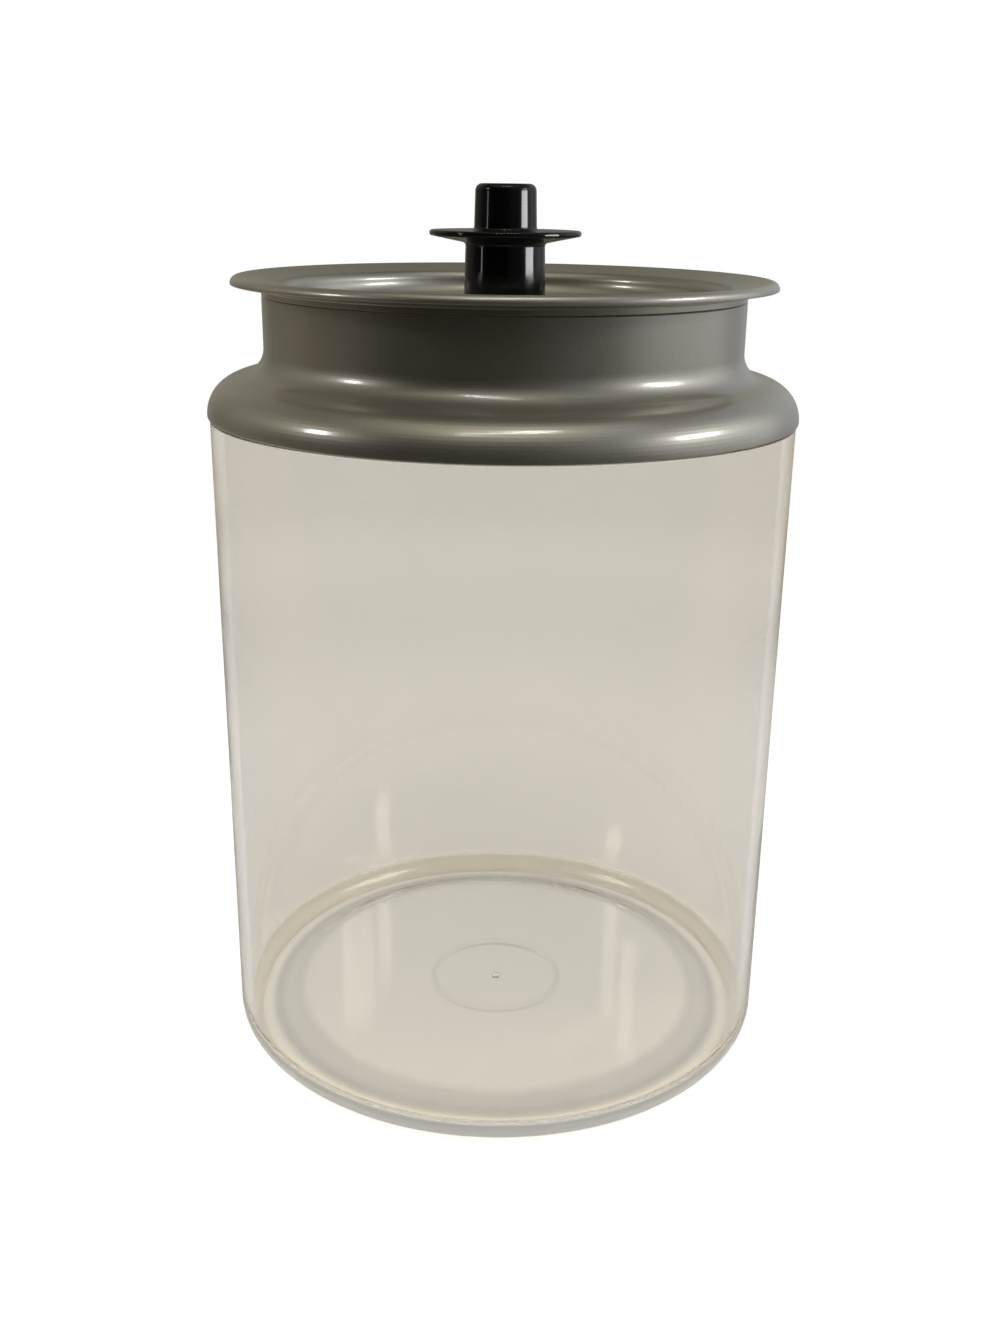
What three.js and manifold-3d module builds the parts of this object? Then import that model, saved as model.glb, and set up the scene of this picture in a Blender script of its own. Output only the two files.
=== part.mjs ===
// Clear acrylic food canister: a straight clear body, a pewter-grey collar that gives it a shoulder
// and a neck, and a drop-in lid lifted by a black knob with a finger flange.
// Millimetres, +Z up. The origin is the centre of the ring that the canister stands on.
import * as THREE from "three";
import { mergeVertices } from "three/addons/utils/BufferGeometryUtils.js";
import Module from "manifold-3d";

const wasm = await Module();
wasm.setup();

// Clear body
const BODY_RADIUS = 100; // outside
const BODY_WALL = 4;
const BODY_HEIGHT = 228; // standing ring to the step that the collar sits over
const BASE_EDGE = 6; // rounding where the wall meets the standing ring
const FLOOR_THICKNESS = 3.5;
const FLOOR_EDGE = 6; // rounding inside, between wall and floor
const FOOT_INSET = 14; // outside wall to the inner edge of the standing ring
const FOOT_SLOPE = 7.5; // radial run of the slope from the standing ring up to the raised floor
const FOOT_RECESS = 2.5; // how far the middle of the floor is raised
const FOOT_ROUND = 20; // easing at both ends of that slope
const GATE_RING_RADIUS = 24.8; // moulding mark under the floor
const GATE_RING_WIDTH = 4.4;
const GATE_RING_DEPTH = 0.25;
const GATE_PIP_RADIUS = 1.6; // stub left where the plastic was injected
const GATE_PIP_DEPTH = 0.8;
const MOUTH_WALL = 1.4; // the mouth is thinner than the wall, so that the collar can go over it
const MOUTH_HEIGHT = 4.8;
const MOUTH_EDGE = 0.5;

// Collar
const COLLAR_OVERHANG = 0.8; // how far the skirt stands out from the body
const COLLAR_WALL = 2.8;
const SKIRT_EDGE = 0.5;
const SHELF_LIP = 2; // how far the shelf over the mouth reaches inside the body's wall
const SHELF_SLOPE = 2; // radial run of the slope from the shelf up to the inside of the shoulder
const SHELF_COVER = 3.8; // shelf to where skirt and shoulder would meet in a corner
const SHOULDER_ROUND = 12.3;
const SHOULDER_WIDTH = 18.7; // outside of the body to the outside of the neck
const SHOULDER_CLIMB = 5.4; // rise of the shoulder from that corner to the neck
const NECK_FILLET = 9;
const NECK_HEIGHT = 23.7; // shoulder to the top of the neck
const NECK_EDGE = 0.8;
const COLLAR_GASKET_THICKNESS = 1;
const COLLAR_GASKET_WIDTH = 2.8;

// Lid
const RIM_OVERHANG = 10; // neck to the tip of the flared rim
const RIM_HEIGHT = 6.5; // seat on the neck to the top of the rim
const RIM_EDGE = 3.2; // thickness at the tip
const RIM_ROUND = 2.6; // rounding of the tip's upper edge
const RIM_ROOT = 1.6; // height of the rim's root over the seat
const RIM_DROP = 3.4; // how far the rim's top falls from the tip to the pan
const PAN_DEPTH = 11.3; // top of the rim to the floor of the pan
const PAN_FLOOR = 2.6;
const PAN_WALL = 3.4;
const PAN_DRAFT = 0.9; // how far the pan narrows to its floor
const PAN_LIP_ROUND = 4;
const PAN_FLOOR_ROUND = 6.5;
const PLUG_CLEARANCE = 1; // plug to the bore of the neck
const PLUG_DROP = 10; // how far the plug reaches below the pan's floor
const PLUG_EDGE = 0.8;
const PLUG_ROOT_FILLET = 2.5; // under the pan, between plug and floor
const GROOVE_LOW = 3; // lower edge of the plug to the gasket's groove
const GROOVE_HEIGHT = 4;
const GROOVE_DEPTH = 1.5;
const SOCKET_RING_WIDTH = 2; // raised ring that holds the foot of the knob in place
const SOCKET_RING_HEIGHT = 1.2;

// Knob
const STEM_RADIUS = 13.3; // just under the flange
const STEM_DRAFT = 0.6; // how much wider the stem is at its foot
const STEM_HEIGHT = 21.1;
const STEM_WALL = 2.8;
const STEM_EDGE = 0.5;
const FLANGE_OVERHANG = 12.1; // stem to the tip of the flange
const FLANGE_RISE = 2.4; // rise of the flange's underside from the stem to the tip
const FLANGE_EDGE = 1.7; // thickness at the tip
const FLANGE_FILLET = 1.2;
const CAP_RADIUS = 10.1; // upper stem, over the flange
const CAP_DRAFT = 0.4;
const CAP_HEIGHT = 14.7;
const CAP_ROUND = 2.3;
const CORE_WALL = 2.4; // wall round the threaded insert
const KNOB_ROOF = 6; // solid left between the flange and the hollow round the core

// Fastening of the knob
const SCREW_RADIUS = 2.5;
const SCREW_LENGTH = 16;
const SCREW_TIP = 0.8;
const HEAD_OVERHANG = 2.2; // shank to the edge of the head
const HEAD_HEIGHT = 3.4;
const HEAD_ROUND = 1.8;
const CROSS_SPAN = 4.6; // cross recess of the screw
const CROSS_WIDTH = 1.1;
const CROSS_DEPTH = 1.8;
const INSERT_WALL = 1.3;
const INSERT_LENGTH = 9;
const INSERT_GROOVE = 0.5;
const WASHER_THICKNESS = 1;
const WASHER_WIDTH = 3.7;
const SEAL_THICKNESS = 1.4;
const SEAL_WIDTH = 3.2;

const GAP = 0.3; // left between pieces that touch
const WIDE_SIDES = 48; // facets of the body, the collar and the lid
const KNOB_SIDES = 32;
const SMALL_SIDES = 24;
const FACET_OFF = 0.2; // most that the facets of a fillet lie off its arc
const MOST_OF_SIDE = 0.98; // share of a side that the fillets at its two ends may use

// Sizes that follow from those above
const bodyInside = BODY_RADIUS - BODY_WALL;
const mouthRadius = bodyInside + MOUTH_WALL;
const skirtRadius = BODY_RADIUS + COLLAR_OVERHANG;
const skirtInside = mouthRadius + GAP;
const neckRadius = BODY_RADIUS - SHOULDER_WIDTH;
const neckBore = neckRadius - COLLAR_WALL;
const shelfHeight = MOUTH_HEIGHT + GAP + COLLAR_GASKET_THICKNESS + GAP;
const shoulderEdge = shelfHeight + SHELF_COVER;
const shoulderTop = shoulderEdge + SHOULDER_CLIMB;
const neckTop = shoulderTop + NECK_HEIGHT;
const plugRadius = neckBore - PLUG_CLEARANCE;
const panFloorTop = RIM_HEIGHT - PAN_DEPTH;
const panFloorBottom = panFloorTop - PAN_FLOOR;
const plugBottom = panFloorBottom - PLUG_DROP;
const grooveRadius = plugRadius - GROOVE_DEPTH;
const stemFoot = STEM_RADIUS + STEM_DRAFT;
const knobFoot = panFloorTop + GAP;
const sealTop = panFloorBottom - GAP;
const washerTop = sealTop - SEAL_THICKNESS - GAP;
const headTop = washerTop - WASHER_THICKNESS - GAP;
const screwReach = headTop + SCREW_LENGTH - knobFoot;
const screwHole = SCREW_RADIUS + GAP;
const insertRadius = screwHole + INSERT_WALL;
const insertHole = insertRadius + GAP;

const material = (color, roughness, metalness, opacity = 1) =>
  new THREE.MeshStandardMaterial({ color, roughness, metalness, opacity, transparent: opacity < 1 });
const clearAcrylic = material(0xd8d4c8, 0.08, 0, 0.35);
const pewterPlastic = material(0x86837a, 0.3, 0.6);
const blackPlastic = material(0x0a0a0b, 0.12, 0);
const silicone = material(0xd9d7d0, 0.6, 0);
const brass = material(0xb5934f, 0.35, 1);
const steel = material(0xb8babd, 0.3, 1);

// Points of the arc that rounds one corner, touching both of its sides at this reach from it.
function rounded(before, corner, after, reach) {
  const toBefore = before.clone().sub(corner).normalize();
  const toAfter = after.clone().sub(corner).normalize();
  const turn = Math.PI - toBefore.angleTo(toAfter);
  const radius = reach / Math.tan(turn / 2);
  const inward = toBefore.clone().add(toAfter).normalize();
  const centre = corner.clone().addScaledVector(inward, radius / Math.cos(turn / 2));
  const start = corner.clone().addScaledVector(toBefore, reach);
  const side = Math.sign(toAfter.cross(toBefore));
  const stepMost = 2 * Math.acos(Math.max(0, 1 - FACET_OFF / radius));
  const steps = Math.ceil(turn / stepMost);
  return Array.from({ length: steps + 1 }, (_, i) =>
    start.clone().rotateAround(centre, (side * turn * i) / steps),
  );
}

// An outline through corners [radius, height, fillet], where a corner with no fillet stays sharp.
// It runs with the material on its left. A ring closes on itself, and any other ends on the axis.
// Where a side is too short for the fillets at its ends, both of them shrink to fit it.
function outline(corners, isRing) {
  const count = corners.length;
  const points = corners.map(([radius, height]) => new THREE.Vector2(radius, height));
  const before = (i) => (i + count - 1) % count;
  const after = (i) => (i + 1) % count;
  const reaches = corners.map(([, , fillet = 0], i) => {
    const toBefore = points[before(i)].clone().sub(points[i]);
    const toAfter = points[after(i)].clone().sub(points[i]);
    return fillet / Math.tan(toBefore.angleTo(toAfter) / 2);
  });
  const fit = (i, j) => (MOST_OF_SIDE * points[i].distanceTo(points[j])) / (reaches[i] + reaches[j]);
  const path = points.flatMap((point, i) => {
    if (reaches[i] === 0) return [point];
    const reach = reaches[i] * Math.min(1, fit(before(i), i), fit(i, after(i)));
    return rounded(points[before(i)], point, points[after(i)], reach);
  });
  return isRing ? [...path, path[0].clone()] : path;
}

// A solid of revolution about Z. Lathes turn about Y, so it is tipped up.
const turned = (corners, isRing, sides) =>
  new THREE.LatheGeometry(outline(corners, isRing), sides).rotateX(Math.PI / 2);
const turnedRing = (corners, sides) => turned(corners, true, sides);
const turnedSolid = (corners, sides) => turned(corners, false, sides);

// A flat ring, from one height up to another.
const flatRing = (inside, outside, low, high, sides) =>
  turnedRing([[inside, low], [outside, low], [outside, high], [inside, high]], sides);

// A closed geometry as a solid that can be cut.
function solidOf(geometry) {
  const bare = geometry.clone();
  bare.deleteAttribute("normal");
  bare.deleteAttribute("uv");
  const merged = mergeVertices(bare);
  return new wasm.Manifold(
    new wasm.Mesh({
      numProp: 3,
      vertProperties: merged.attributes.position.array,
      triVerts: new Uint32Array(merged.index.array),
    }),
  );
}

// What is left of one closed geometry when another is cut out of it.
function cut(geometry, tool) {
  const mesh = solidOf(geometry).subtract(solidOf(tool)).getMesh();
  const made = new THREE.BufferGeometry();
  made.setAttribute("position", new THREE.BufferAttribute(mesh.vertProperties, 3));
  made.setIndex(new THREE.BufferAttribute(mesh.triVerts, 1));
  made.computeVertexNormals();
  return made;
}

function piece(name, geometry, finish, height = 0) {
  const mesh = new THREE.Mesh(geometry, finish);
  mesh.name = name;
  mesh.position.z = height;
  return mesh;
}

// Clear body: a straight tumbler on a standing ring, with its mouth set in for the collar.
function bodyGeometry() {
  const footInside = BODY_RADIUS - FOOT_INSET;
  const floorEdge = footInside - FOOT_SLOPE;
  const floorTop = FOOT_RECESS + FLOOR_THICKNESS;
  const mouthTop = BODY_HEIGHT + MOUTH_HEIGHT;
  return turnedSolid(
    [
      [0, FOOT_RECESS - GATE_PIP_DEPTH],
      [GATE_PIP_RADIUS, FOOT_RECESS - GATE_PIP_DEPTH],
      [GATE_PIP_RADIUS, FOOT_RECESS],
      [GATE_RING_RADIUS - GATE_RING_WIDTH / 2, FOOT_RECESS],
      [GATE_RING_RADIUS, FOOT_RECESS - GATE_RING_DEPTH],
      [GATE_RING_RADIUS + GATE_RING_WIDTH / 2, FOOT_RECESS],
      [floorEdge, FOOT_RECESS, FOOT_ROUND],
      [footInside, 0, FOOT_ROUND],
      [BODY_RADIUS, 0, BASE_EDGE],
      [BODY_RADIUS, BODY_HEIGHT, MOUTH_EDGE],
      [mouthRadius, BODY_HEIGHT],
      [mouthRadius, mouthTop, MOUTH_EDGE],
      [bodyInside, mouthTop, MOUTH_EDGE],
      [bodyInside, FLOOR_THICKNESS, FLOOR_EDGE],
      [footInside, FLOOR_THICKNESS, FOOT_ROUND],
      [floorEdge, floorTop, FOOT_ROUND],
      [0, floorTop],
    ],
    WIDE_SIDES,
  );
}

// Collar: skirt over the mouth, round shoulder and straight neck. Heights are from the body's step.
function collarGeometry() {
  const shoulderAt = (radius) =>
    shoulderTop - (SHOULDER_CLIMB * (radius - neckRadius)) / (skirtRadius - neckRadius);
  const shelfInside = bodyInside - SHELF_LIP;
  const ceilingEdge = shelfInside - SHELF_SLOPE;
  return turnedRing(
    [
      [skirtInside, GAP],
      [skirtRadius, GAP, SKIRT_EDGE],
      [skirtRadius, shoulderEdge, SHOULDER_ROUND],
      [neckRadius, shoulderTop, NECK_FILLET],
      [neckRadius, neckTop, NECK_EDGE],
      [neckBore, neckTop, NECK_EDGE],
      [neckBore, shoulderTop - COLLAR_WALL, NECK_FILLET + COLLAR_WALL],
      [ceilingEdge, shoulderAt(ceilingEdge) - COLLAR_WALL, COLLAR_WALL],
      [shelfInside, shelfHeight],
      [skirtInside, shelfHeight],
    ],
    WIDE_SIDES,
  );
}

// Gasket that lies on the mouth, under the collar's shelf. Heights are from the body's step.
function collarGasketGeometry() {
  const outside = skirtInside - GAP;
  const low = MOUTH_HEIGHT + GAP;
  return flatRing(outside - COLLAR_GASKET_WIDTH, outside, low, low + COLLAR_GASKET_THICKNESS, WIDE_SIDES);
}

// Lid: flared rim over the neck, shallow pan, and a plug that goes down inside the neck.
// Heights are from the seat on the neck.
function lidGeometry() {
  const rimRadius = neckRadius + RIM_OVERHANG;
  const panRadius = plugRadius - PAN_WALL;
  const grooveBottom = plugBottom + GROOVE_LOW;
  const grooveTop = grooveBottom + GROOVE_HEIGHT;
  const ringInside = stemFoot + GAP;
  const ringOutside = ringInside + SOCKET_RING_WIDTH;
  const ringTop = panFloorTop + SOCKET_RING_HEIGHT;
  return turnedRing(
    [
      [screwHole, panFloorBottom],
      [panRadius, panFloorBottom, PLUG_ROOT_FILLET],
      [panRadius, plugBottom, PLUG_EDGE],
      [plugRadius, plugBottom, PLUG_EDGE],
      [plugRadius, grooveBottom],
      [grooveRadius, grooveBottom],
      [grooveRadius, grooveTop],
      [plugRadius, grooveTop],
      [plugRadius, 0],
      [neckRadius, 0],
      [neckRadius, RIM_ROOT],
      [rimRadius, RIM_HEIGHT - RIM_EDGE],
      [rimRadius, RIM_HEIGHT, RIM_ROUND],
      [panRadius, RIM_HEIGHT - RIM_DROP, PAN_LIP_ROUND],
      [panRadius - PAN_DRAFT, panFloorTop, PAN_FLOOR_ROUND],
      [ringOutside, panFloorTop],
      [ringOutside, ringTop],
      [ringInside, ringTop],
      [ringInside, panFloorTop],
      [screwHole, panFloorTop],
    ],
    WIDE_SIDES,
  );
}

// Gasket in the plug's groove, just short of the neck's bore. Heights are from the lid's seat.
function lidGasketGeometry() {
  const low = plugBottom + GROOVE_LOW + GAP;
  const high = plugBottom + GROOVE_LOW + GROOVE_HEIGHT - GAP;
  return flatRing(grooveRadius + GAP, neckBore - GAP, low, high, WIDE_SIDES);
}

// Knob: stem, flange and upper stem in one moulding, hollow below. Heights are from its foot.
function knobGeometry() {
  const flangeRadius = STEM_RADIUS + FLANGE_OVERHANG;
  const flangeLow = STEM_HEIGHT + FLANGE_RISE;
  const flangeTop = flangeLow + FLANGE_EDGE;
  const knobTop = flangeTop + CAP_HEIGHT;
  const coreRadius = insertHole + CORE_WALL;
  const hollowTop = STEM_HEIGHT - KNOB_ROOF;
  const insertTop = INSERT_LENGTH + GAP;
  const screwTop = Math.max(insertTop, screwReach) + GAP;
  return turnedSolid(
    [
      [0, screwTop],
      [screwHole, screwTop],
      [screwHole, insertTop],
      [insertHole, insertTop],
      [insertHole, 0],
      [coreRadius, 0],
      [coreRadius, hollowTop],
      [stemFoot - STEM_WALL, hollowTop],
      [stemFoot - STEM_WALL, 0],
      [stemFoot, 0, STEM_EDGE],
      [STEM_RADIUS, STEM_HEIGHT, FLANGE_FILLET],
      [flangeRadius, flangeLow, FLANGE_EDGE / 2],
      [flangeRadius, flangeTop, FLANGE_EDGE / 2],
      [CAP_RADIUS + CAP_DRAFT, flangeTop, FLANGE_FILLET],
      [CAP_RADIUS, knobTop, CAP_ROUND],
      [0, knobTop],
    ],
    KNOB_SIDES,
  );
}

// Brass insert moulded into the knob, with a groove round its waist.
function insertGeometry() {
  const third = INSERT_LENGTH / 3;
  const waist = insertRadius - INSERT_GROOVE;
  return turnedRing(
    [
      [screwHole, 0],
      [insertRadius, 0],
      [insertRadius, third],
      [waist, third],
      [waist, 2 * third],
      [insertRadius, 2 * third],
      [insertRadius, INSERT_LENGTH],
      [screwHole, INSERT_LENGTH],
    ],
    SMALL_SIDES,
  );
}

// Pan-head screw, head down, with a cross recess. Heights are from the face under its head.
function screwGeometry() {
  const headRadius = SCREW_RADIUS + HEAD_OVERHANG;
  const plain = turnedSolid(
    [
      [0, -HEAD_HEIGHT],
      [headRadius, -HEAD_HEIGHT, HEAD_ROUND],
      [headRadius, 0],
      [SCREW_RADIUS, 0],
      [SCREW_RADIUS, SCREW_LENGTH - SCREW_TIP],
      [SCREW_RADIUS - SCREW_TIP, SCREW_LENGTH],
      [0, SCREW_LENGTH],
    ],
    SMALL_SIDES,
  );
  const long = CROSS_SPAN / 2;
  const short = CROSS_WIDTH / 2;
  const middle = new THREE.Vector2();
  const arm = [[long, -short], [long, short], [short, short]].map(([x, y]) => new THREE.Vector2(x, y));
  const cross = [0, 1, 2, 3].flatMap((quarter) =>
    arm.map((corner) => corner.clone().rotateAround(middle, (quarter * Math.PI) / 2)),
  );
  const recess = new THREE.ExtrudeGeometry(new THREE.Shape(cross), {
    depth: 2 * CROSS_DEPTH,
    bevelEnabled: false,
  });
  return cut(plain, recess.translate(0, 0, -HEAD_HEIGHT - CROSS_DEPTH));
}

// A washer round the screw. Heights are from its top face.
const washerGeometry = (width, thickness) =>
  flatRing(screwHole, screwHole + width, -thickness, 0, SMALL_SIDES);

const canister = new THREE.Group();
canister.add(piece("canister_body", bodyGeometry(), clearAcrylic));

const collar = new THREE.Group();
collar.position.z = BODY_HEIGHT;
collar.add(
  piece("collar", collarGeometry(), pewterPlastic),
  piece("collar_gasket", collarGasketGeometry(), silicone),
);
canister.add(collar);

// The lid and what hangs from its pan: soft seal, steel washer and screw head, one below the other.
const lid = new THREE.Group();
lid.position.z = neckTop + GAP;
lid.add(
  piece("lid_pan", lidGeometry(), pewterPlastic),
  piece("lid_gasket", lidGasketGeometry(), silicone),
  piece("seal_washer", washerGeometry(SEAL_WIDTH, SEAL_THICKNESS), silicone, sealTop),
  piece("screw_washer", washerGeometry(WASHER_WIDTH, WASHER_THICKNESS), steel, washerTop),
  piece("knob_screw", screwGeometry(), steel, headTop),
);
collar.add(lid);

const knob = new THREE.Group();
knob.position.z = knobFoot;
knob.add(piece("knob", knobGeometry(), blackPlastic), piece("knob_insert", insertGeometry(), brass));
lid.add(knob);

export default canister;
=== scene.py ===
"""Looks of the clear canister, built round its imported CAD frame. Metres, +Z up."""

import math

import bpy
from mathutils import Matrix, Vector


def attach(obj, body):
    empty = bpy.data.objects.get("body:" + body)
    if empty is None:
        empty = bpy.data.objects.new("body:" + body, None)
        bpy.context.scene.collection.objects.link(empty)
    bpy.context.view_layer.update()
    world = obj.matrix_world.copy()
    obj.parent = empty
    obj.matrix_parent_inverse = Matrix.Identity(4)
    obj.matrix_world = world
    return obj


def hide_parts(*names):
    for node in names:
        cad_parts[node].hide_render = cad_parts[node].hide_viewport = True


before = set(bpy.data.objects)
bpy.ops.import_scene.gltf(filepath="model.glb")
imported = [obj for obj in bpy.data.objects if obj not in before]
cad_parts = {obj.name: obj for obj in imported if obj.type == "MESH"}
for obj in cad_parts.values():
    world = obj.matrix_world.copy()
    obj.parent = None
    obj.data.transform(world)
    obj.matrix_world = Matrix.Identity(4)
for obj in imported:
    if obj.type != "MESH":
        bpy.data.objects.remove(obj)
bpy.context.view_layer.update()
scene = bpy.context.scene
scene.view_settings.view_transform = "Standard"

MM = 0.001

# Camera, from a fit to the circles in the photograph
FOCAL = 1373 / 1333  # in heights of the image
CAMERA_AT = (-0.0001, -0.4802, 0.3009)
PITCH = 0.334  # downwards, in radians
ROLL = 0.013
SENSOR = 36

camera = bpy.data.objects.new("camera", bpy.data.cameras.new("camera"))
camera.data.sensor_width = SENSOR
camera.data.lens = FOCAL * SENSOR
camera.data.clip_start = 0.01
tilt = Matrix.Rotation(math.pi / 2 - PITCH, 4, "X") @ Matrix.Rotation(ROLL, 4, "Z")
camera.matrix_world = Matrix.Translation(CAMERA_AT) @ tilt
scene.collection.objects.link(camera)
scene.camera = camera

# Sizes in millimetres, as in the CAD source
GAP = 0.3  # between pieces that rest on each other

BODY_RADIUS = 100
BODY_INSIDE = 96
BODY_HEIGHT = 228
MOUTH_RADIUS = 97.4
MOUTH_TOP = 232.8
FOOT_INSIDE = 86
FLOOR_EDGE = 78.5
FOOT_RECESS = 2.5
FLOOR_LOW = 3.5
FLOOR_TOP = 6
BASE_ROUND = 6  # outside and inside
RING_ROUND = 20
GATE_RING = 24.8
GATE_HALF = 2.2
GATE_DEPTH = 0.25
GATE_ROUND = 18
DIMPLE_RADIUS = 1.6
DIMPLE_DEPTH = 0.8

SKIRT_RADIUS = 100.8
SKIRT_INSIDE = 97.7
SHELF = 6.4
SHELF_INSIDE = 94
CEILING_EDGE = 92
SHOULDER_EDGE = 10.2
SHOULDER_TOP = 15.6
NECK_RADIUS = 81.3
NECK_BORE = 78.5
NECK_TOP = 39.3
COLLAR_WALL = 2.8
SHOULDER_ROUND = 12.3
COVE_ROUND = 9
NECK_ROUND = 0.8  # top of the neck and foot of the lid's plug
MOUTH_GASKET_INSIDE = 94.6

LID_SEAT = BODY_HEIGHT + NECK_TOP + GAP
SEAT_LOW = -0.25  # the lid's own weight closes most of the gap over the neck
SEAT_TOP = 1.6
RIM_RADIUS = 91.3
RIM_HEIGHT = 6.5
RIM_THICKNESS = 3.2
BROW_DROP = 3.4
RIM_ROUND = 2.6
TIP_ROUND = 0.4
SEAT_ROUND = 0.3
PLUG_RADIUS = 77.5
PAN_RADIUS = 74.1
PAN_DRAFT = 0.9
PAN_LIP_ROUND = 4
PAN_FLOOR_ROUND = 6.5
PAN_UNDER_ROUND = 2.5
PAN_FLOOR_TOP = -4.8
PAN_FLOOR_LOW = -7.4
PLUG_LOW = -17.4
GROOVE_RADIUS = 76
GROOVE_LOW = PLUG_LOW + 3
GROOVE_TOP = PLUG_LOW + 7
SCREW_HOLE = 2.8
KNOB_RING_WIDTH = 2
KNOB_RING_HEIGHT = 1.2

KNOB_FOOT = LID_SEAT + PAN_FLOOR_TOP + GAP
STEM_FOOT = 13.9
STEM_RADIUS = 13.3
STEM_HEIGHT = 21.1
FLANGE_RADIUS = 25.4
FLANGE_LOW = 23.5
FLANGE_TOP = 25.2
FLANGE_ROUND = 0.85
FLANGE_COVE = 1.2  # where the stem and the cap meet it
CAP_RADIUS = 10.1
CAP_DRAFT = 0.4
KNOB_TOP = 39.9
CAP_ROUND = 2.3
KNOB_WALL = 2.8
KNOB_CORE = STEM_HEIGHT - 6
BOSS_RADIUS = 6.8
SOCKET_RADIUS = 4.4
SOCKET_TOP = 9.3
SCREW_POCKET = 10.1

INSERT_RADIUS = 4.1
INSERT_WAIST = 3.6
INSERT_HEIGHT = 9
SEAL_RADIUS = 6
SEAL_THICKNESS = 1.4
WASHER_RADIUS = 6.5
WASHER_THICKNESS = 1
HEAD_RADIUS = 4.7
HEAD_HEIGHT = 3.4
HEAD_ROUND = 1.8
SCREW_RADIUS = 2.5
SCREW_LENGTH = 16
SCREW_TIP = 0.8
# Height, reach and half width of the cross recess, at both ends of its cutter
CROSS_ENDS = ((-4.4, 2.55, 0.62), (-1.6, 1.7, 0.42))
SEAL_TOP = LID_SEAT + PAN_FLOOR_LOW - GAP
WASHER_TOP = SEAL_TOP - SEAL_THICKNESS - GAP
HEAD_FACE = WASHER_TOP - WASHER_THICKNESS - GAP

EDGE = 0.15  # rounding of every corner that has none of its own
SOFT = 0.5  # rounding of thin edges in reach of fingers
ARC_STEP = math.radians(6)
FILL = 0.98  # the share of a side that the fillets at its ends may take up
HOLD = 0.3  # a loop this far from each fillet keeps the flat beside it flat
SHARP = math.radians(50)
ON_AXIS = 1e-6
WIDE_SIDES = 192
KNOB_SIDES = 96
SMALL_SIDES = 64


def rounded(before, corner, after, reach):
    """Points of the arc that rounds a corner and touches both of its sides at this reach."""
    to_before = (before - corner).normalized()
    to_after = (after - corner).normalized()
    bend = math.pi - to_before.angle(to_after)
    radius = reach / math.tan(bend / 2)
    centre = corner + (to_before + to_after).normalized() * radius / math.cos(bend / 2)
    arm = corner + to_before * reach - centre
    side = math.copysign(1, to_after.x * to_before.y - to_after.y * to_before.x)
    steps = max(2, math.ceil(bend / ARC_STEP))
    points = []
    for i in range(steps + 1):
        c, s = math.cos(side * bend * i / steps), math.sin(side * bend * i / steps)
        points.append(centre + Vector((c * arm.x - s * arm.y, s * arm.x + c * arm.y)))
    return points


def outline(corners, is_ring):
    """A profile through corners (radius, height, fillet), with the material on its left."""
    count = len(corners)
    points = [Vector(c[:2]) for c in corners]
    reaches = []
    for i, corner in enumerate(corners):
        fillet = corner[2] if len(corner) > 2 else EDGE
        on_axis = not is_ring and i in (0, count - 1)
        opening = (points[i - 1] - points[i]).angle(points[(i + 1) % count] - points[i])
        reaches.append(0 if on_axis else fillet / math.tan(opening / 2))
    path = []
    for i, point in enumerate(points):
        before, after = points[i - 1], points[(i + 1) % count]
        if reaches[i] == 0:
            path.append(point)
            continue
        shares = [
            FILL * (before - point).length / (reaches[i - 1] + reaches[i]),
            FILL * (after - point).length / (reaches[i] + reaches[(i + 1) % count]),
        ]
        path += rounded(before, point, after, reaches[i] * min(1, *shares))
    return path


def held(path, is_ring):
    """The same profile with a point near both ends of each long side."""
    made = []
    for i, point in enumerate(path):
        made.append(point)
        if i == len(path) - 1 and not is_ring:
            break
        after = path[(i + 1) % len(path)]
        along = after - point
        if along.length > 3 * HOLD:
            near = along.normalized() * HOLD
            made += [point + near, after - near]
    return made


def turned(name, corners, is_ring, sides, height=0):
    """A smooth solid of revolution about Z, from a profile whose heights start at this height."""
    profile = held(outline(corners, is_ring), is_ring)
    vertices, rows = [], []
    for point in profile:
        if point.x < ON_AXIS:
            rows.append([len(vertices)] * sides)
            vertices.append((0, 0, (point.y + height) * MM))
            continue
        rows.append(range(len(vertices), len(vertices) + sides))
        for k in range(sides):
            angle = math.tau * k / sides
            x, y = point.x * math.cos(angle), point.x * math.sin(angle)
            vertices.append((x * MM, y * MM, (point.y + height) * MM))
    faces = []
    for low, high in zip(rows, rows[1:] + rows[:1] if is_ring else rows[1:]):
        for k in range(sides):
            m = (k + 1) % sides
            corner = [low[k], low[m], high[m], high[k]]
            faces.append(list(dict.fromkeys(corner)))
    mesh = bpy.data.meshes.new(name)
    mesh.from_pydata(vertices, [], faces)
    mesh.polygons.foreach_set("use_smooth", [True] * len(mesh.polygons))
    mesh.set_sharp_from_angle(angle=SHARP)
    made = bpy.data.objects.new(name, mesh)
    scene.collection.objects.link(made)
    return made


def ring(name, radii, heights, sides, height, fillet):
    inside, outside = radii
    low, high = heights
    corners = [
        (inside, low, fillet),
        (outside, low, fillet),
        (outside, high, fillet),
        (inside, high, fillet),
    ]
    return turned(name, corners, True, sides, height)


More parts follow.
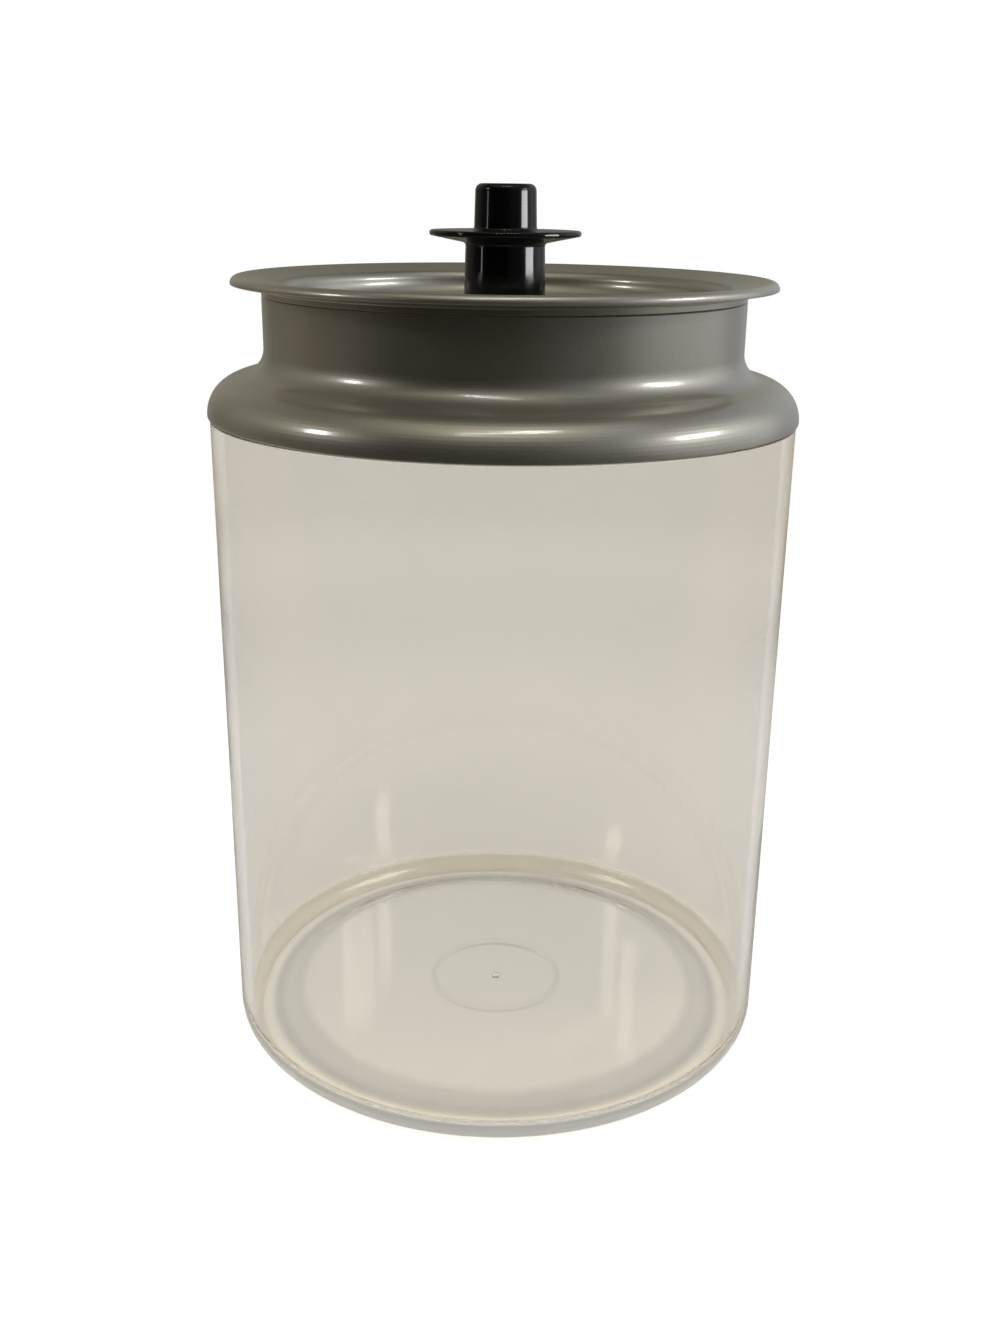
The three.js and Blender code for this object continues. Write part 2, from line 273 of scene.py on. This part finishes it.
class Nodes:
    """Shader nodes that are put together in an empty tree."""

    def __init__(self, tree):
        self.tree = tree
        self.tree.nodes.clear()

    def add(self, kind, settings=None, **inputs):
        """A node with its settings, and its inputs set or linked. An input is named or numbered."""
        node = self.tree.nodes.new("ShaderNode" + kind)
        for key, value in (settings or {}).items():
            setattr(node, key, value)
        for key, value in inputs.items():
            number = key[2:] if key.startswith("in") and key[2:].isdigit() else None
            socket = node.inputs[int(number) if number else key.replace("_", " ")]
            if isinstance(value, bpy.types.NodeSocket):
                self.tree.links.new(value, socket)
            else:
                socket.default_value = value
        return node

    def spread(self, value, low, high, to_low=0, to_high=1):
        """The value's range from low to high, eased and moved to another range."""
        smooth = {"interpolation_type": "SMOOTHSTEP"}
        node = self.add("MapRange", smooth, in0=value, in1=low, in2=high, in3=to_low, in4=to_high)
        return node.outputs["Result"]

    def between(self, share, first, second):
        node = self.add("Mix", {"data_type": "RGBA"}, in0=share, in6=first, in7=second)
        return node.outputs[2]

    def maths(self, operation, first, second=0):
        return self.add("Math", {"operation": operation}, in0=first, in1=second).outputs[0]

    def total(self, first, *others):
        for other in others:
            first = self.maths("ADD", first, other)
        return first

    def product(self, first, second):
        return self.maths("MULTIPLY", first, second)

    def hill(self, value, low, top, high):
        """1 at the top, and 0 below low and above high."""
        return self.product(self.spread(value, low, top), self.spread(value, top, high, 1, 0))


class Surface(Nodes):
    """A material in the object's own coordinates."""

    def __init__(self, name):
        self.material = bpy.data.materials.new(name)
        self.material.use_nodes = True
        super().__init__(self.material.node_tree)
        self.place = self.add("TexCoord").outputs["Object"]

    def noise(self, scale, detail=2, stretch=None):
        """Even noise from 0 to 1, with features about 1 / scale metres across."""
        place = self.place
        if stretch:
            place = self.add("Mapping", Vector=place, Scale=stretch).outputs["Vector"]
        return self.add("TexNoise", Vector=place, Scale=scale, Detail=detail).outputs["Fac"]

    def round_axis(self):
        """Distance from the canister's axis, and height."""
        parts = self.add("SeparateXYZ", Vector=self.place).outputs
        square = self.product(parts["X"], parts["X"])
        square = self.total(square, self.product(parts["Y"], parts["Y"]))
        return self.maths("SQRT", square), parts["Z"]

    def bump(self, height, strength, distance, normal=None):
        node = self.add("Bump", Height=height, Strength=strength, Distance=distance)
        if normal:
            self.tree.links.new(normal, node.inputs["Normal"])
        return node.outputs["Normal"]

    def finish(self, shader):
        output = self.add("OutputMaterial")
        self.tree.links.new(shader.outputs[0], output.inputs["Surface"])
        return self.material


def clear_acrylic():
    """Polished walls, a matte mouth, a clearer floor with painted rings of shade, a cloudy base
    edge and a painted pale corner inside it.
    """
    s = Surface("clear_acrylic")
    radius, height = s.round_axis()
    smudge = s.noise(16, 5)
    drag = s.noise(420, 3, stretch=(1, 1, 0.04))
    wall = s.between(smudge, (0.78, 0.757, 0.706, 1), (0.748, 0.727, 0.678, 1))
    turning = s.maths("POWER", s.add("LayerWeight", Blend=0.5).outputs["Facing"], 3)
    wall = s.between(turning, wall, (0.72, 0.7, 0.65, 1))

    # Painted shade: the slopes on both sides of the standing ring, and the gate mark, are painted
    # darker than the floor
    outer_ring_shade = s.hill(radius, 0.079, 0.086, 0.0895)
    inner_ring_shade = s.product(s.hill(radius, 0.0735, 0.0785, 0.084), 0.6)
    gate = s.product(s.hill(radius, 0.0228, 0.0248, 0.0268), 0.3)
    painted_ring_shade = s.total(outer_ring_shade, inner_ring_shade, gate)
    floor = s.between(painted_ring_shade, (0.92, 0.918, 0.898, 1), (0.66, 0.655, 0.636, 1))
    low, within = s.spread(height, 0.006, 0.0075, 1, 0), s.spread(radius, 0.09, 0.094, 1, 0)
    tint = s.between(s.product(low, within), wall, floor)

    # The outside of the base is cloudy. The corner inside it is painted as pale, as painted light
    # that lifts the shade seen through the glass there
    skirt = s.product(s.spread(height, 0.0045, 0.012, 1, 0), s.spread(radius, 0.0962, 0.0975))
    foot = s.product(s.spread(height, 0.002, 0.0032, 1, 0), s.spread(radius, 0.092, 0.095))
    cloudy = s.maths("MAXIMUM", skirt, foot)
    inside = s.product(s.spread(radius, 0.087, 0.091), s.spread(radius, 0.0961, 0.0963, 1, 0))
    rise = s.product(s.spread(height, 0.0028, 0.0036), s.spread(height, 0.0095, 0.013, 1, 0))
    corner = s.product(inside, rise)
    tint = s.between(s.maths("MAXIMUM", cloudy, corner), tint, (0.99, 0.94, 0.84, 1))

    rough = s.total(
        s.spread(smudge, 0.45, 0.75, 0.012, 0.06),
        s.spread(drag, 0.6, 0.8, 0, 0.05),
        s.product(cloudy, 0.6),
        s.spread(height, 0.2272, 0.2276, 0, 0.4),
        s.product(corner, 0.05),
    )
    glass = s.add(
        "BsdfPrincipled",
        Base_Color=tint,
        Roughness=rough,
        IOR=1.49,
        Transmission_Weight=s.spread(cloudy, 0, 1, 1, 0.45),
        Subsurface_Weight=1,
        Subsurface_Radius=(1, 0.95, 0.85),
        Subsurface_Scale=0.012,
        Normal=s.bump(drag, 0.03, 0.0001, s.bump(s.noise(22, 1), 0.2, 0.0006)),
    )
    passed = s.add("BsdfTransparent", Color=(0.85, 0.83, 0.78, 1))
    shadow = s.add("LightPath").outputs["Is Shadow Ray"]
    return s.finish(s.add("MixShader", Fac=shadow, in1=glass.outputs[0], in2=passed.outputs[0]))


def pewter_plastic():
    """Fine metal flakes under a glossy coat with a little orange peel."""
    s = Surface("pewter_plastic")
    flake = s.noise(2600, 1)
    cloud = s.noise(20, 3)
    peel = s.noise(520, 1)
    dark = s.between(cloud, (0.35, 0.328, 0.262, 1), (0.39, 0.366, 0.295, 1))
    colour = s.between(s.spread(flake, 0.55, 0.8), dark, (0.475, 0.45, 0.365, 1))
    worn = s.noise(34, 5)
    skin = s.bump(peel, 0.03, 0.0002)
    paint = s.add(
        "BsdfPrincipled",
        Base_Color=colour,
        Metallic=0.95,
        Roughness=s.spread(worn, 0.3, 0.75, 0.4, 0.48),
        Normal=s.bump(flake, 0.03, 0.00008, skin),
        Coat_Weight=1,
        Coat_IOR=1.9,
        Coat_Roughness=s.spread(worn, 0.3, 0.75, 0.14, 0.19),
        Coat_Normal=skin,
    )
    return s.finish(paint)


def black_plastic():
    s = Surface("black_plastic")
    scuff = s.noise(900, 3, stretch=(1, 1, 0.15))
    haze = s.noise(60, 4)
    colour = s.between(haze, (0.0012, 0.0012, 0.0013, 1), (0.0022, 0.0022, 0.0023, 1))
    rough = s.total(s.spread(haze, 0.4, 0.7, 0.06, 0.13), s.spread(scuff, 0.62, 0.8, 0, 0.12))
    normal = s.bump(scuff, 0.03, 0.0001, s.bump(s.noise(140, 1), 0.08, 0.0003))
    gloss = s.add(
        "BsdfPrincipled",
        Base_Color=colour,
        Roughness=rough,
        IOR=1.49,
        Specular_IOR_Level=0.3,
        Normal=normal,
    )
    return s.finish(gloss)


def silicone():
    s = Surface("silicone")
    cloud = s.noise(70, 4)
    colour = s.between(cloud, (0.58, 0.57, 0.53, 1), (0.66, 0.65, 0.61, 1))
    rough = s.spread(cloud, 0.3, 0.7, 0.42, 0.58)
    rubber = s.add(
        "BsdfPrincipled",
        Base_Color=colour,
        Roughness=rough,
        Normal=s.bump(s.noise(1500, 2), 0.1, 0.0001),
    )
    return s.finish(rubber)


def turned_metal(name, first, second, rough_low, rough_high):
    """Bare metal with fine rings round the axis, as a lathe leaves them."""
    s = Surface(name)
    radius, height = s.round_axis()
    across = s.add("CombineXYZ", X=radius, Z=height).outputs[0]
    lines = s.add("TexNoise", Vector=across, Scale=5200, Detail=2).outputs["Fac"]
    colour = s.between(s.noise(300, 3), first, second)
    rough = s.spread(lines, 0.3, 0.7, rough_low, rough_high)
    metal = s.add(
        "BsdfPrincipled",
        Base_Color=colour,
        Metallic=1,
        Roughness=rough,
        Normal=s.bump(lines, 0.15, 0.00005),
    )
    return s.finish(metal)


materials = {
    "clear_acrylic": clear_acrylic(),
    "pewter_plastic": pewter_plastic(),
    "black_plastic": black_plastic(),
    "silicone": silicone(),
    "brass": turned_metal("brass", (0.52, 0.36, 0.13, 1), (0.62, 0.45, 0.18, 1), 0.25, 0.4),
    "steel": turned_metal("steel", (0.5, 0.5, 0.51, 1), (0.6, 0.6, 0.61, 1), 0.22, 0.36),
}


def dress(made, node, body, slot):
    """The piece stands for a CAD node, moves with a body and takes its finish from a slot."""
    made.data.materials.append(materials[slot])
    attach(made, body)
    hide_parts(node)


def clear_body():
    return turned(
        "clear_body",
        [
            (0, FOOT_RECESS - DIMPLE_DEPTH),
            (DIMPLE_RADIUS, FOOT_RECESS - DIMPLE_DEPTH),
            (DIMPLE_RADIUS, FOOT_RECESS),
            (GATE_RING - GATE_HALF, FOOT_RECESS, GATE_ROUND),
            (GATE_RING, FOOT_RECESS - GATE_DEPTH, GATE_ROUND),
            (GATE_RING + GATE_HALF, FOOT_RECESS, GATE_ROUND),
            (FLOOR_EDGE, FOOT_RECESS, RING_ROUND),
            (FOOT_INSIDE, 0, RING_ROUND),
            (BODY_RADIUS, 0, BASE_ROUND),
            (BODY_RADIUS, BODY_HEIGHT, SOFT),
            (MOUTH_RADIUS, BODY_HEIGHT),
            (MOUTH_RADIUS, MOUTH_TOP, SOFT),
            (BODY_INSIDE, MOUTH_TOP, SOFT),
            (BODY_INSIDE, FLOOR_LOW, BASE_ROUND),
            (FOOT_INSIDE, FLOOR_LOW, RING_ROUND),
            (FLOOR_EDGE, FLOOR_TOP, RING_ROUND),
            (0, FLOOR_TOP),
        ],
        is_ring=False,
        sides=WIDE_SIDES,
    )


def grey_collar():
    fall = (SHOULDER_TOP - SHOULDER_EDGE) / (SKIRT_RADIUS - NECK_RADIUS)
    ceiling = SHOULDER_TOP - fall * (CEILING_EDGE - NECK_RADIUS) - COLLAR_WALL
    return turned(
        "grey_collar",
        [
            (SKIRT_INSIDE, GAP),
            (SKIRT_RADIUS, GAP, SOFT),
            (SKIRT_RADIUS, SHOULDER_EDGE, SHOULDER_ROUND),
            (NECK_RADIUS, SHOULDER_TOP, COVE_ROUND),
            (NECK_RADIUS, NECK_TOP, NECK_ROUND),
            (NECK_BORE, NECK_TOP, NECK_ROUND),
            (NECK_BORE, SHOULDER_TOP - COLLAR_WALL, COVE_ROUND + COLLAR_WALL),
            (CEILING_EDGE, ceiling, COLLAR_WALL),
            (SHELF_INSIDE, SHELF),
            (SKIRT_INSIDE, SHELF),
        ],
        is_ring=True,
        sides=WIDE_SIDES,
        height=BODY_HEIGHT,
    )


def grey_lid():
    ring_inside = STEM_FOOT + GAP
    ring_outside = ring_inside + KNOB_RING_WIDTH
    return turned(
        "grey_lid",
        [
            (SCREW_HOLE, PAN_FLOOR_LOW),
            (PAN_RADIUS, PAN_FLOOR_LOW, PAN_UNDER_ROUND),
            (PAN_RADIUS, PLUG_LOW, NECK_ROUND),
            (PLUG_RADIUS, PLUG_LOW, NECK_ROUND),
            (PLUG_RADIUS, GROOVE_LOW),
            (GROOVE_RADIUS, GROOVE_LOW),
            (GROOVE_RADIUS, GROOVE_TOP),
            (PLUG_RADIUS, GROOVE_TOP),
            (PLUG_RADIUS, SEAT_LOW),
            (NECK_RADIUS, SEAT_LOW),
            (NECK_RADIUS, SEAT_TOP, SEAT_ROUND),
            (RIM_RADIUS, RIM_HEIGHT - RIM_THICKNESS, TIP_ROUND),
            (RIM_RADIUS, RIM_HEIGHT, RIM_ROUND),
            (PAN_RADIUS, RIM_HEIGHT - BROW_DROP, PAN_LIP_ROUND),
            (PAN_RADIUS - PAN_DRAFT, PAN_FLOOR_TOP, PAN_FLOOR_ROUND),
            (ring_outside, PAN_FLOOR_TOP),
            (ring_outside, PAN_FLOOR_TOP + KNOB_RING_HEIGHT),
            (ring_inside, PAN_FLOOR_TOP + KNOB_RING_HEIGHT),
            (ring_inside, PAN_FLOOR_TOP),
            (SCREW_HOLE, PAN_FLOOR_TOP),
        ],
        is_ring=True,
        sides=WIDE_SIDES,
        height=LID_SEAT,
    )


def black_knob():
    return turned(
        "black_knob",
        [
            (0, SCREW_POCKET),
            (SCREW_HOLE, SCREW_POCKET),
            (SCREW_HOLE, SOCKET_TOP),
            (SOCKET_RADIUS, SOCKET_TOP),
            (SOCKET_RADIUS, 0),
            (BOSS_RADIUS, 0),
            (BOSS_RADIUS, KNOB_CORE),
            (STEM_FOOT - KNOB_WALL, KNOB_CORE),
            (STEM_FOOT - KNOB_WALL, 0),
            (STEM_FOOT, 0, SOFT),
            (STEM_RADIUS, STEM_HEIGHT, FLANGE_COVE),
            (FLANGE_RADIUS, FLANGE_LOW, FLANGE_ROUND),
            (FLANGE_RADIUS, FLANGE_TOP, FLANGE_ROUND),
            (CAP_RADIUS + CAP_DRAFT, FLANGE_TOP, FLANGE_COVE),
            (CAP_RADIUS, KNOB_TOP, CAP_ROUND),
            (0, KNOB_TOP),
        ],
        is_ring=False,
        sides=KNOB_SIDES,
        height=KNOB_FOOT,
    )


def brass_insert():
    return turned(
        "brass_insert",
        [
            (SCREW_HOLE, 0),
            (INSERT_RADIUS, 0),
            (INSERT_RADIUS, INSERT_HEIGHT / 3),
            (INSERT_WAIST, INSERT_HEIGHT / 3),
            (INSERT_WAIST, 2 * INSERT_HEIGHT / 3),
            (INSERT_RADIUS, 2 * INSERT_HEIGHT / 3),
            (INSERT_RADIUS, INSERT_HEIGHT),
            (SCREW_HOLE, INSERT_HEIGHT),
        ],
        is_ring=True,
        sides=SMALL_SIDES,
        height=KNOB_FOOT,
    )


def pan_head_screw():
    """Head down, with a tapered cross recess cut into it."""
    made = turned(
        "pan_head_screw",
        [
            (0, -HEAD_HEIGHT),
            (HEAD_RADIUS, -HEAD_HEIGHT, HEAD_ROUND),
            (HEAD_RADIUS, 0),
            (SCREW_RADIUS, 0),
            (SCREW_RADIUS, SCREW_LENGTH - SCREW_TIP),
            (SCREW_RADIUS - SCREW_TIP, SCREW_LENGTH),
            (0, SCREW_LENGTH),
        ],
        is_ring=False,
        sides=SMALL_SIDES,
        height=HEAD_FACE,
    )
    vertices = []
    for height, long, short in CROSS_ENDS:
        for quarter in range(4):
            for x, y in ((long, -short), (long, short), (short, short)):
                spot = Matrix.Rotation(quarter * math.pi / 2, 2) @ Vector((x, y))
                vertices.append((spot.x * MM, spot.y * MM, (HEAD_FACE + height) * MM))
    count = len(vertices) // 2
    faces = [list(range(count))[::-1], list(range(count, 2 * count))]
    for k in range(count):
        m = (k + 1) % count
        faces.append([k, m, count + m, count + k])
    mesh = bpy.data.meshes.new("cross_cutter")
    mesh.from_pydata(vertices, [], faces)
    cutter = bpy.data.objects.new("cross_cutter", mesh)
    scene.collection.objects.link(cutter)
    cut = made.modifiers.new("cross", "BOOLEAN")
    cut.operation = "DIFFERENCE"
    cut.solver = "EXACT"
    cut.object = cutter
    whole = made.evaluated_get(bpy.context.evaluated_depsgraph_get())
    result = bpy.data.meshes.new_from_object(whole)
    made.modifiers.clear()
    made.data = result
    bpy.data.objects.remove(cutter)
    return made


dress(clear_body(), "canister_body", "canister", "clear_acrylic")
dress(grey_collar(), "collar", "collar", "pewter_plastic")
mouth = MOUTH_TOP - BODY_HEIGHT
mouth_gasket = ring(
    "mouth_gasket",
    (MOUTH_GASKET_INSIDE, MOUTH_RADIUS),
    (mouth + GAP, SHELF - GAP),
    sides=WIDE_SIDES,
    height=BODY_HEIGHT,
    fillet=0.3,
)
dress(mouth_gasket, "collar_gasket", "collar", "silicone")
dress(grey_lid(), "lid_pan", "lid", "pewter_plastic")
plug_gasket = ring(
    "plug_gasket",
    (GROOVE_RADIUS + GAP, NECK_BORE - GAP),
    (GROOVE_LOW + GAP, GROOVE_TOP - GAP),
    sides=WIDE_SIDES,
    height=LID_SEAT,
    fillet=0.7,
)
dress(plug_gasket, "lid_gasket", "lid", "silicone")
knob = black_knob()
dress(knob, "knob", "lid", "black_plastic")
dress(brass_insert(), "knob_insert", "lid", "brass")
soft_washer = ring(
    "soft_washer",
    (SCREW_HOLE, SEAL_RADIUS),
    (-SEAL_THICKNESS, 0),
    sides=SMALL_SIDES,
    height=SEAL_TOP,
    fillet=0.3,
)
dress(soft_washer, "seal_washer", "lid", "silicone")
steel_washer = ring(
    "steel_washer",
    (SCREW_HOLE, WASHER_RADIUS),
    (-WASHER_THICKNESS, 0),
    sides=SMALL_SIDES,
    height=WASHER_TOP,
    fillet=0.2,
)
dress(steel_washer, "screw_washer", "lid", "steel")
dress(pan_head_screw(), "knob_screw", "lid", "steel")


STAGE_RADIUS = 1.4
STAGE_SIDES = 96
STAGE_DROP = 0.0002  # keeps the floor just under the canister


def floor():
    """A pale disc, white to the eye far out. What shines sees it dark in front of the canister."""
    s = Surface("floor")
    radius, _ = s.round_axis()
    far = s.spread(radius, 0.3, 0.9)
    depth = s.add("SeparateXYZ", Vector=s.place).outputs["Y"]
    behind = s.spread(depth, -0.36, -0.04, 0.05, 0.42)
    path = s.add("LightPath").outputs
    through = path["Is Transmission Ray"]
    dimming = s.product(path["Is Glossy Ray"], s.maths("SUBTRACT", 1, through))
    share = s.add("Mix", in0=dimming, in2=1, in3=behind).outputs[0]
    grain = s.between(s.noise(90, 4), (0.72, 0.72, 0.72, 1), (0.75, 0.75, 0.75, 1))
    grain = s.between(s.maths("SUBTRACT", share, far), (0, 0, 0, 1), grain)
    diffuse = s.add("BsdfDiffuse", Color=grain)
    shines = s.maths("MAXIMUM", path["Is Glossy Ray"], through)
    own = s.product(s.spread(far, 0, 1, 0.5, 1), s.maths("MAXIMUM", path["Is Camera Ray"], shines))
    warm = s.between(dimming, (1, 1, 1, 1), (1, 0.84, 0.58, 1))
    glow = s.add("Emission", Color=warm, Strength=s.product(own, share))
    material = s.finish(s.add("AddShader", in0=diffuse.outputs[0], in1=glow.outputs[0]))
    angles = [math.tau * k / STAGE_SIDES for k in range(STAGE_SIDES)]
    edge = [(STAGE_RADIUS * math.cos(a), STAGE_RADIUS * math.sin(a), 0) for a in angles]
    mesh = bpy.data.meshes.new("floor")
    mesh.from_pydata(edge, [], [range(STAGE_SIDES)])
    mesh.materials.append(material)
    made = bpy.data.objects.new("floor", mesh)
    made.location.z = -STAGE_DROP
    scene.collection.objects.link(made)


# Soft lights of the room that shiny pieces see, as azimuth, elevation and strength
ROOM_LIGHTS = (
    (45, 10, 0.09),
    (90, 10, 0.62),
    (135, 10, 0.34),
    (180, 10, 0.18),
    (-135, 10, 0.17),
    (-90, 10, 0.09),
    (60, 42, 0.12),
    (120, 42, 0.16),
    (-120, 42, 0.13),
    (0, 80, 0.48),
)
# Panes of light that glint inside the clear walls, the last two in the corner of the floor,
# as azimuth, elevation, half width and half height
PANES = (
    (-61.5, 29.2, 0.08, 0.065),
    (60, 28.2, 0.08, 0.065),
    (-71, 53, 0.24, 0.21),
    (75, 53, 0.45, 0.21),
)
PANE_STRENGTH = 60
ROOM_LIGHT_REACH = math.radians(45)
AMBIENT = 0.74  # what lights matt pieces


def direction(azimuth, elevation):
    """Azimuth 0 is in front of the canister, 90 on its right."""
    a, e = math.radians(azimuth), math.radians(elevation)
    return Vector((math.sin(a) * math.cos(e), -math.cos(a) * math.cos(e), math.sin(e)))


def room():
    """White where the eye looks, and a dim room with a dark front in what shines."""
    world = bpy.data.worlds.new("room")
    scene.world = world
    world.use_nodes = True
    n = Nodes(world.node_tree)
    way = n.add("TexCoord").outputs["Generated"]
    lobes = []
    for azimuth, elevation, strength in ROOM_LIGHTS:
        axis = direction(azimuth, elevation)
        near = n.add("VectorMath", {"operation": "DOT_PRODUCT"}, in0=way, in1=axis)
        lobes.append(n.spread(near.outputs["Value"], math.cos(ROOM_LIGHT_REACH), 1, 0, strength))
    shine = n.total(*lobes)

    parts = n.add("SeparateXYZ", Vector=way).outputs
    right = n.spread(parts["X"], 0.1, 0.55)
    turned_by = n.maths("ARCTAN2", parts["X"], n.product(parts["Y"], -1))
    panes = []  # each fades out towards its edges
    for azimuth, elevation, width, tall in PANES:
        across = n.maths("ABSOLUTE", n.maths("SUBTRACT", turned_by, math.radians(azimuth)))
        middle = math.sin(math.radians(elevation))
        upwards = n.maths("ABSOLUTE", n.maths("SUBTRACT", parts["Z"], middle))
        lit = n.spread(across, 0.4 * width, width, PANE_STRENGTH, 0)
        panes.append(n.product(lit, n.spread(upwards, 0.6 * tall, tall, 1, 0)))

    path = n.add("LightPath").outputs
    through, glossy = path["Is Transmission Ray"], path["Is Glossy Ray"]
    seen = n.maths("MAXIMUM", path["Is Camera Ray"], through)
    mixed = n.add("Mix", in0=glossy, in2=AMBIENT, in3=shine).outputs[0]
    # Light that a matt surface has scattered doesn't meet the panes
    direct = n.product(through, n.maths("LESS_THAN", path["Diffuse Depth"], 0.5))
    white = n.total(n.product(n.total(*panes), direct), 1)
    strength = n.add("Mix", in0=seen, in2=mixed, in3=white).outputs[0]
    tint = n.between(right, (1, 0.95, 0.78, 1), (0.97, 1, 1.07, 1))
    plain = n.maths("MAXIMUM", seen, n.maths("SUBTRACT", 1, glossy))
    tint = n.between(plain, tint, (1, 1, 1, 1))
    light = n.add("Background", Color=tint, Strength=strength)
    n.tree.links.new(light.outputs[0], n.add("OutputWorld").inputs["Surface"])


LAMP_AIM = Vector((0, 0, 0.26))


def lamp(name, azimuth, elevation, distance, width, height, radiance, spin=0, only=None):
    """A soft rectangular lamp that faces the collar, and may light one collection only."""
    away = direction(azimuth, elevation)
    light = bpy.data.lights.new(name, "AREA")
    light.shape = "RECTANGLE"
    light.size = width
    light.size_y = height
    light.energy = radiance * width * height * math.pi
    made = bpy.data.objects.new(name, light)
    made.visible_camera = False
    turn = away.to_track_quat("Z", "Y").to_matrix().to_4x4() @ Matrix.Rotation(spin, 4, "Z")
    made.matrix_world = Matrix.Translation(LAMP_AIM + away * distance) @ turn
    if only:
        made.light_linking.receiver_collection = only
    scene.collection.objects.link(made)


floor()
room()
black_pieces = bpy.data.collections.new("black_pieces")
black_pieces.objects.link(knob)
lamp("left_lamp", -76, 27, distance=1.3, width=0.18, height=0.16, radiance=15)
lamp("left_strip", -70, 0, distance=1.3, width=0.08, height=0.3, radiance=5, only=black_pieces)
lamp("right_lamp", 80, 25, distance=1.3, width=0.42, height=0.17, radiance=12)
lamp("right_strip", 74, 0, distance=1.3, width=0.6, height=0.45, radiance=18, only=black_pieces)
lamp("top_lamp", 3, 69, distance=1.2, width=0.6, height=0.014, radiance=55, spin=0.4)
